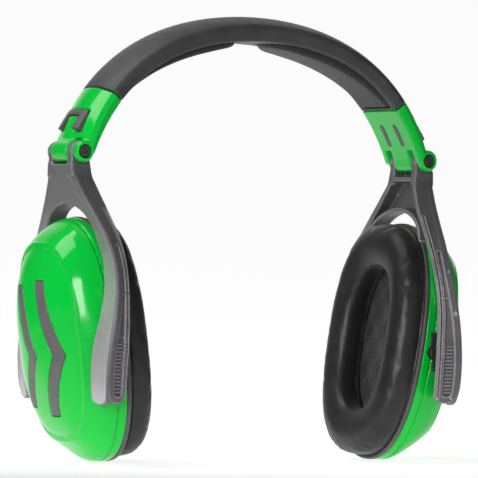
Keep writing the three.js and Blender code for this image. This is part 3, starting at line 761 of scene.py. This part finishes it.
# ---- materials ----------------------------------------------------------------------------------
class Shader:
    """A small helper that adds and links nodes of one material."""

    def __init__(self, name, **settings):
        self.material = bpy.data.materials.new(name)
        self.material.use_nodes = True
        self.nodes = self.material.node_tree.nodes
        self.links = self.material.node_tree.links
        self.surface = self.nodes["Principled BSDF"]
        self.place = self.add("ShaderNodeTexCoord").outputs["Object"]
        for socket, value in settings.items():
            self.surface.inputs[socket.replace("_", " ")].default_value = value

    def add(self, kind, inputs=(), **settings):
        node = self.nodes.new(kind)
        for key, value in settings.items():
            setattr(node, key, value)
        for socket, value in dict(inputs).items():
            if isinstance(value, bpy.types.NodeSocket):
                self.links.new(value, node.inputs[socket])
            else:
                node.inputs[socket].default_value = value
        return node

    def noise(self, size_mm, detail=2.0, stretch=(1, 1, 1), roughness=0.5):
        place = self.add("ShaderNodeMapping", {"Vector": self.place, "Scale": stretch})
        return self.add("ShaderNodeTexNoise", {
            "Vector": place.outputs["Vector"], "Scale": 1 / (size_mm * MM),
            "Detail": detail, "Roughness": roughness,
        }).outputs["Fac"]

    def cells(self, size_mm, smooth=False):
        return self.add("ShaderNodeTexVoronoi", {
            "Vector": self.place, "Scale": 1 / (size_mm * MM),
        }, feature="SMOOTH_F1" if smooth else "F1").outputs["Distance"]

    def spread(self, value, low, high, start=0.0, end=1.0):
        return self.add("ShaderNodeMapRange", {
            "Value": value, "From Min": start, "From Max": end, "To Min": low, "To Max": high,
        }).outputs["Result"]

    def colours(self, value, stops):
        ramp = self.add("ShaderNodeValToRGB", {"Fac": value})
        elements = ramp.color_ramp.elements
        for _ in range(len(stops) - 2):
            elements.new(0.5)
        for element, (position, colour) in zip(elements, stops):
            element.position = position
            element.color = (*colour, 1)
        return ramp.outputs["Color"]

    def bump(self, height, distance_mm, strength=1.0, below=None):
        inputs = {"Height": height, "Distance": distance_mm * MM, "Strength": strength}
        if below is not None:
            inputs["Normal"] = below
        return self.add("ShaderNodeBump", inputs).outputs["Normal"]

    def sharp_edges(self, low=0.52, high=0.62):
        """1 on sharp edges, 0 elsewhere: worn edges on the moulded plastics, painted highlights on the fork's
        rims.
        """
        edge = self.add("ShaderNodeNewGeometry").outputs["Pointiness"]
        return self.spread(edge, 0.0, 1.0, low, high)

    def finish(self, colour=None, roughness=None, normal=None):
        for socket, value in (("Base Color", colour), ("Roughness", roughness), ("Normal", normal)):
            if value is not None:
                self.links.new(value, self.surface.inputs[socket])
        return self.material


BLOTCH_STRENGTH = 0.18
WORN_LIFT = 1.5  # how much lighter a worn edge is


def tinted(colour, factor):
    return tuple(min(channel * factor, 1.0) for channel in colour)


def moulded_plastic(name, colour, roughness):
    """Satin plastic with a fine mould texture, faint blotches and slightly polished edges."""
    shader = Shader(name, IOR=1.46)
    blotch = shader.noise(14, 3)
    grain = shader.noise(0.35, 3, roughness=0.6)
    base = shader.colours(blotch, [
        (0.3, tinted(colour, 1 - BLOTCH_STRENGTH)), (0.7, tinted(colour, 1 + BLOTCH_STRENGTH)),
    ])
    edge_mask = shader.sharp_edges()
    mix = shader.add("ShaderNodeMix", {"Factor": shader.spread(edge_mask, 0, 0.35)}, data_type="RGBA")
    shader.links.new(base, mix.inputs["A"])
    mix.inputs["B"].default_value = (*tinted(colour, WORN_LIFT), 1)
    rough = shader.spread(shader.noise(3, 4), roughness - 0.05, roughness + 0.06, 0.3, 0.7)
    return shader.finish(mix.outputs["Result"], rough, shader.bump(grain, 0.012))


def gloss_green():
    """Polished dyed plastic: faint flow marks, a trace of orange peel and hairline scratches."""
    shader = Shader("gloss_green", IOR=1.45, Specular_IOR_Level=0.42)
    flow = shader.noise(22, 4, (1, 1, 0.5))
    base = shader.colours(flow, [(0.25, (0.0006, 0.50, 0.040)), (0.75, (0.0012, 0.58, 0.052))])
    rough = shader.spread(shader.noise(2.2, 5), 0.09, 0.14, 0.35, 0.7)
    peel = shader.bump(shader.noise(2.4, 2), 0.012, 0.6)
    scratches = shader.noise(0.5, 1, (0.05, 1, 0.4))
    normal = shader.bump(scratches, 0.001, 0.35, peel)
    return shader.finish(base, rough, normal)


def leatherette():
    """Smooth embossed vinyl over foam: a tiny pebble grain and soft creases."""
    shader = Shader("leatherette", IOR=1.45, Sheen_Weight=0.08, Sheen_Roughness=0.4)
    pebble = shader.cells(0.55, smooth=True)
    crease = shader.noise(5, 5, roughness=0.55)
    base = shader.colours(shader.noise(9, 4), [
        (0.3, (0.0105, 0.0095, 0.0105)), (0.75, (0.019, 0.0175, 0.0195)),
    ])
    rough = shader.spread(crease, 0.36, 0.48, 0.3, 0.75)
    soft = shader.bump(crease, 0.05, 0.35)
    return shader.finish(base, rough, shader.bump(pebble, 0.02, 0.5, soft))


def foam():
    shader = Shader("foam", Sheen_Weight=0.15, Sheen_Roughness=0.6)
    pores = shader.cells(0.9)
    fine = shader.noise(0.5, 4)
    # The pits of the pores are painted darker: painted shade.
    base = shader.colours(pores, [(0.05, (0.002, 0.002, 0.002)), (0.5, (0.013, 0.0125, 0.0135))])
    height = shader.add("ShaderNodeMath", {0: pores, 1: fine}, operation="ADD").outputs[0]
    return shader.finish(base, shader.spread(fine, 0.85, 1.0), shader.bump(height, 0.35, 0.9))


def rubber_pad():
    """Soft matt elastomer, with a velvety grain."""
    shader = Shader("rubber_pad", IOR=1.42, Sheen_Weight=0.12, Sheen_Roughness=0.5)
    base = shader.colours(shader.noise(12, 3), [
        (0.3, (0.021, 0.020, 0.021)), (0.7, (0.030, 0.029, 0.030)),
    ])
    rough = shader.spread(shader.noise(2, 4), 0.62, 0.78, 0.3, 0.7)
    return shader.finish(base, rough, shader.bump(shader.noise(0.3, 3), 0.02))


def plated_steel():
    shader = Shader("plated_steel", Metallic=1.0)
    brushed = shader.noise(0.25, 3, (1, 0.08, 1))
    base = shader.colours(shader.noise(1.5, 4), [
        (0.3, (0.10, 0.095, 0.092)), (0.75, (0.23, 0.21, 0.205)),
    ])
    rough = shader.spread(brushed, 0.28, 0.5)
    return shader.finish(base, rough, shader.bump(brushed, 0.01, 0.6))


def fork_plastic():
    """Grey plastic. Its outer faces are painted lighter and more metallic as a painted reflection that fades out
    towards the top, and its sharp rims are painted lighter as painted highlights.
    """
    shader = Shader("fork_plastic", IOR=1.5)
    base = shader.colours(shader.noise(10, 3), [
        (0.3, (0.094, 0.090, 0.094)), (0.7, (0.115, 0.110, 0.115)),
    ])
    painted_reflection = shader.colours(shader.noise(5, 4, (1, 1, 0.3)), [
        (0.3, (0.47, 0.45, 0.47)), (0.7, (0.56, 0.54, 0.56)),
    ])
    # The outer faces, picked by their normal, get a painted reflection: a lighter, more metallic colour that fades
    # out towards the top.
    normal = shader.add("ShaderNodeNewGeometry").outputs["Normal"]
    facing = shader.add("ShaderNodeSeparateXYZ", {0: normal})
    outward = shader.add("ShaderNodeMath", {0: facing.outputs["X"]}, operation="ABSOLUTE").outputs[0]
    height = shader.add("ShaderNodeSeparateXYZ", {0: shader.place}).outputs["Z"]
    low, high = (PIN[2] - 52) * MM, (PIN[2] - 22) * MM
    reflection_mask = shader.add("ShaderNodeMath", {
        0: shader.spread(outward, 0, 1, 0.8, 0.95),
        1: shader.spread(height, 1, 0.12, low, high),
    }, operation="MULTIPLY").outputs[0]
    # The fork's sharp rims are painted lighter: painted highlights.
    edge_mask = shader.sharp_edges(0.51, 0.57)
    painted_rim_highlights = shader.add("ShaderNodeMix", {"Factor": edge_mask}, data_type="RGBA")
    shader.links.new(base, painted_rim_highlights.inputs["A"])
    painted_rim_highlights.inputs["B"].default_value = (0.36, 0.34, 0.36, 1)
    mix = shader.add("ShaderNodeMix", {"Factor": reflection_mask}, data_type="RGBA")
    shader.links.new(painted_rim_highlights.outputs["Result"], mix.inputs["A"])
    shader.links.new(painted_reflection, mix.inputs["B"])
    shader.links.new(shader.spread(reflection_mask, 0.15, 0.55), shader.surface.inputs["Metallic"])
    rough = shader.spread(shader.noise(3, 4), 0.34, 0.46, 0.3, 0.7)
    return shader.finish(mix.outputs["Result"], rough, shader.bump(shader.noise(0.25, 3), 0.008))


MATERIALS = {
    "green": gloss_green(),
    "band": moulded_plastic("band_plastic", (0.050, 0.048, 0.051), 0.52),
    "key": moulded_plastic("key_plastic", (0.085, 0.080, 0.084), 0.45),
    "strip": moulded_plastic("strip_plastic", (0.118, 0.110, 0.115), 0.5),
    "rim": moulded_plastic("rim_plastic", (0.085, 0.075, 0.080), 0.42),
    "carrier": moulded_plastic("carrier_plastic", (0.03, 0.029, 0.03), 0.4),
    "fork": fork_plastic(),
    "pad": rubber_pad(),
    "leatherette": leatherette(),
    "foam": foam(),
    "steel": plated_steel(),
}


# ---- making the pieces --------------------------------------------------------------------------
def add_piece(name, points, faces, material, body, slot, nodes):
    piece = make_object(name, points, faces, MATERIALS[material])
    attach(piece, body)
    if nodes:
        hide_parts(*nodes)
    return piece


def polish(piece, field, sign):
    """Sets the shading normals from the field, so that reflections stay even."""
    points = np.array([vertex.co for vertex in piece.data.vertices]) / MM * [sign, 1, 1]
    x, y, z = points.T
    reach = 0.15
    slope = np.stack([
        field(x + reach, y, z) - field(x - reach, y, z),
        field(x, y + reach, z) - field(x, y - reach, z),
        field(x, y, z + reach) - field(x, y, z - reach),
    ], 1)
    slope = slope / np.linalg.norm(slope, axis=1, keepdims=True) * [sign, 1, 1]
    piece.data.normals_split_custom_set_from_vertices(slope.tolist())


def add_pair(name, field, low, high, step, material, body, slot, node=None, keep=None):
    """Meshes a field once and adds it for both ears, with a share of its faces if keep is set."""
    shape = mesh_field(field, low, high, step)
    if keep:
        shape = thinned(*shape, keep)
    pieces = {}
    for side, placed in SIDES.items():
        points, faces = placed(*shape)
        nodes = [f"{side}_{node}"] if node else []
        where = body if body == "headband" else f"{side}_{body}"
        pieces[side] = add_piece(f"{side}_{name}_fine", points, faces, material, where, slot, nodes)
        if keep:
            polish(pieces[side], field, 1 if side == "right" else -1)
    return pieces


def bounds_of(node, margin=2.5):
    low, high = box_mm(node)
    return low - margin, high + margin


def add_headband():
    low, high = bounds_of("headband_shell")
    points, faces = thinned(*mesh_field(shell_field, low, high, 0.7), 0.6)
    add_piece("headband_shell_fine", points, faces, "band", "headband", "band_plastic",
              ["headband_shell"])
    pads = add_pair("comfort_pad", pad_field, *bounds_of("right_comfort_pad"), 0.6, "pad",
                    "headband", "comfort_pad", "comfort_pad")


def add_hinges():
    add_pair("band_end", band_end_field, *bounds_of("right_band_end"), 0.5, "green",
             "headband", "green_plastic", "band_end")
    add_pair("grip_key", key_field, *bounds_of("right_grip_key"), 0.35, "key",
             "headband", "grip_key", "grip_key")
    low, high = bounds_of("right_band_end")
    add_pair("grip_feet", foot_field, low, high, 0.45, "key", "headband", "grip_key")


def add_forks():
    add_pair("fork", fork_field, *bounds_of("right_fork"), 0.4, "fork",
             "fork_body", "fork_plastic", "fork", keep=0.55)
    for name, sign in (("carrier_front", -1), ("carrier_rear", 1)):
        add_pair(name, carrier_field(sign), *bounds_of(f"right_{name}"), 0.45, "carrier",
                 "carriers", "carrier_plastic", name)


def add_cups():
    add_pair("cup_shell", cup_shell_field, *bounds_of("right_cup_shell"), 0.5, "green",
             "cup", "green_plastic", "cup_shell", keep=0.45)
    for name, points in (("accent_strip_front", FRONT_CHEVRON), ("accent_strip_rear", REAR_CHEVRON)):
        add_pair(name, strip_field(points), *bounds_of(f"right_{name}", 3.5), 0.35, "strip",
                 "cup", "accent_strip", name)
    add_pair("cup_baseplate", plate_field, *bounds_of("right_cup_baseplate"), 0.6, "rim",
             "cup", "rim_plastic", "cup_baseplate")
    add_pair("cushion_clip_ring", clip_ring_field, *bounds_of("right_cushion_clip_ring", 4), 0.8,
             "rim", "cup", "rim_plastic", "cushion_clip_ring")
    add_pair("foam_liner", foam_field, *bounds_of("right_foam_liner", 12), 1.2, "foam",
             "cup", "foam", "foam_liner")


def add_cushions():
    shape = fill_with_air(*cushion_start(SWELL), voxel=1.7, cap=2.2)
    for side, placed in SIDES.items():
        points, faces = placed(*shape)
        cushion = add_piece(f"{side}_ear_cushion_fine", points, faces, "leatherette",
                            f"{side}_cup", "leatherette", [f"{side}_ear_cushion"])


def dress_steel():
    names = ["headband_spring"]
    names += [f"{side}_{part}" for side in SIDES for part in ("hinge_pin", "hinge_cap")]
    for name in names:
        node = frame["nodes"][name]
        node.data.materials.clear()
        node.data.materials.append(MATERIALS["steel"])


add_headband()
add_hinges()
add_forks()
add_cups()
add_cushions()
dress_steel()


# ---- stage, light and camera --------------------------------------------------------------------
def add_stage():
    """A pale floor that curves up into a backdrop, and glows behind the object."""
    floor_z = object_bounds()[0][2] / MM - 0.3
    points, faces = [], []
    flat, bend = 2100, 700
    profile = [(-2500, 0), (flat, 0)]
    profile += [(flat + bend * math.sin(t), bend - bend * math.cos(t))
                for t in np.linspace(0.1, math.pi / 2, 16)]
    profile += [(flat + bend, 3500)]
    turn = math.radians(CAMERA_AZIMUTH)
    for along, up in profile:
        for side in (-5000, 5000):
            x = side * math.cos(turn) - along * math.sin(turn)
            y = side * math.sin(turn) + along * math.cos(turn)
            points.append((x, y, floor_z + up))
    for i in range(len(profile) - 1):
        faces.append((2 * i, 2 * i + 1, 2 * i + 3, 2 * i + 2))
    shader = Shader("stage_white", Roughness=0.9, Specular_IOR_Level=0.1)
    shader.surface.inputs["Emission Color"].default_value = (1, 1, 1, 1)
    behind = shader.add("ShaderNodeVectorMath", {
        0: shader.place, 1: (-math.sin(turn), math.cos(turn), 0),
    }, operation="DOT_PRODUCT").outputs["Value"]
    aside = shader.add("ShaderNodeVectorMath", {
        0: shader.place, 1: (math.cos(turn), math.sin(turn), 0),
    }, operation="DOT_PRODUCT").outputs["Value"]
    aside = shader.add("ShaderNodeMath", {0: aside}, operation="ABSOLUTE").outputs[0]
    reach = shader.spread(behind, 0.15, 1.35, 0.0, 2.8)
    aside = shader.add("ShaderNodeMath", {0: aside, 1: reach}, operation="DIVIDE").outputs[0]
    glow = shader.add("ShaderNodeMath", {
        0: shader.spread(behind, 0.0, 0.8, -0.3, -0.05),
        1: shader.spread(aside, 1.0, 0.0, 1.0, 2.0),
    }, operation="MULTIPLY").outputs[0]
    shader.links.new(glow, shader.surface.inputs["Emission Strength"])
    tone = shader.noise(400, 2)
    shader.finish(shader.colours(tone, [(0.3, (0.42, 0.42, 0.42)), (0.7, (0.44, 0.44, 0.44))]))
    make_object("floor", points, faces, shader.material)


CAMERA_AZIMUTH = -28.0
CAMERA_ROLL = math.radians(1.1)
CAMERA_DISTANCE = 1800.0
CAMERA_LENS = 339.0
AIM_HEIGHT = -78.5
AIM_ASIDE = -1.3
LIGHT_AIM = Vector((0, 0, -80))


def camera_axes(azimuth, elevation):
    a, e = math.radians(azimuth), math.radians(elevation)
    back = Vector((math.sin(a) * math.cos(e), -math.cos(a) * math.cos(e), math.sin(e)))
    right = Vector((math.cos(a), math.sin(a), 0))
    return right, back.cross(right), back


def add_camera():
    right, up, back = camera_axes(CAMERA_AZIMUTH, 0)
    rolled_right = right * math.cos(CAMERA_ROLL) + up * math.sin(CAMERA_ROLL)
    rolled_up = up * math.cos(CAMERA_ROLL) - right * math.sin(CAMERA_ROLL)
    data = bpy.data.cameras.new("camera")
    data.lens = CAMERA_LENS
    data.sensor_width = 36
    data.clip_end = 20
    camera = bpy.data.objects.new("camera", data)
    bpy.context.scene.collection.objects.link(camera)
    aim = Vector((0, 0, AIM_HEIGHT)) + right * AIM_ASIDE
    axes = Matrix((rolled_right, rolled_up, back)).transposed()
    camera.matrix_world = Matrix.LocRotScale((aim + back * CAMERA_DISTANCE) * MM, axes, None)
    bpy.context.scene.camera = camera


def add_light(name, azimuth, elevation, distance, width, height, power):
    """A rectangular softbox that faces the object."""
    right, up, back = camera_axes(azimuth, elevation)
    data = bpy.data.lights.new(name, "AREA")
    data.shape = "RECTANGLE"
    data.size, data.size_y = width * MM, height * MM
    data.energy = power
    lamp = bpy.data.objects.new(name, data)
    bpy.context.scene.collection.objects.link(lamp)
    axes = Matrix((right, up, back)).transposed()
    lamp.matrix_world = Matrix.LocRotScale((LIGHT_AIM + back * distance) * MM, axes, None)


def add_world(strength):
    world = bpy.data.worlds.new("studio")
    world.use_nodes = True
    world.node_tree.nodes["Background"].inputs["Color"].default_value = (1, 1, 1, 1)
    world.node_tree.nodes["Background"].inputs["Strength"].default_value = strength
    bpy.context.scene.world = world


add_camera()
add_stage()
add_world(0.1)
add_light("softbox", -45, 0, 1100, 300, 760, 10)
add_light("upper_left", -108, 55, 1300, 900, 900, 11.5)
add_light("fill", 5, 5, 1500, 900, 700, 1.3)
bpy.context.scene.view_settings.view_transform = "Standard"
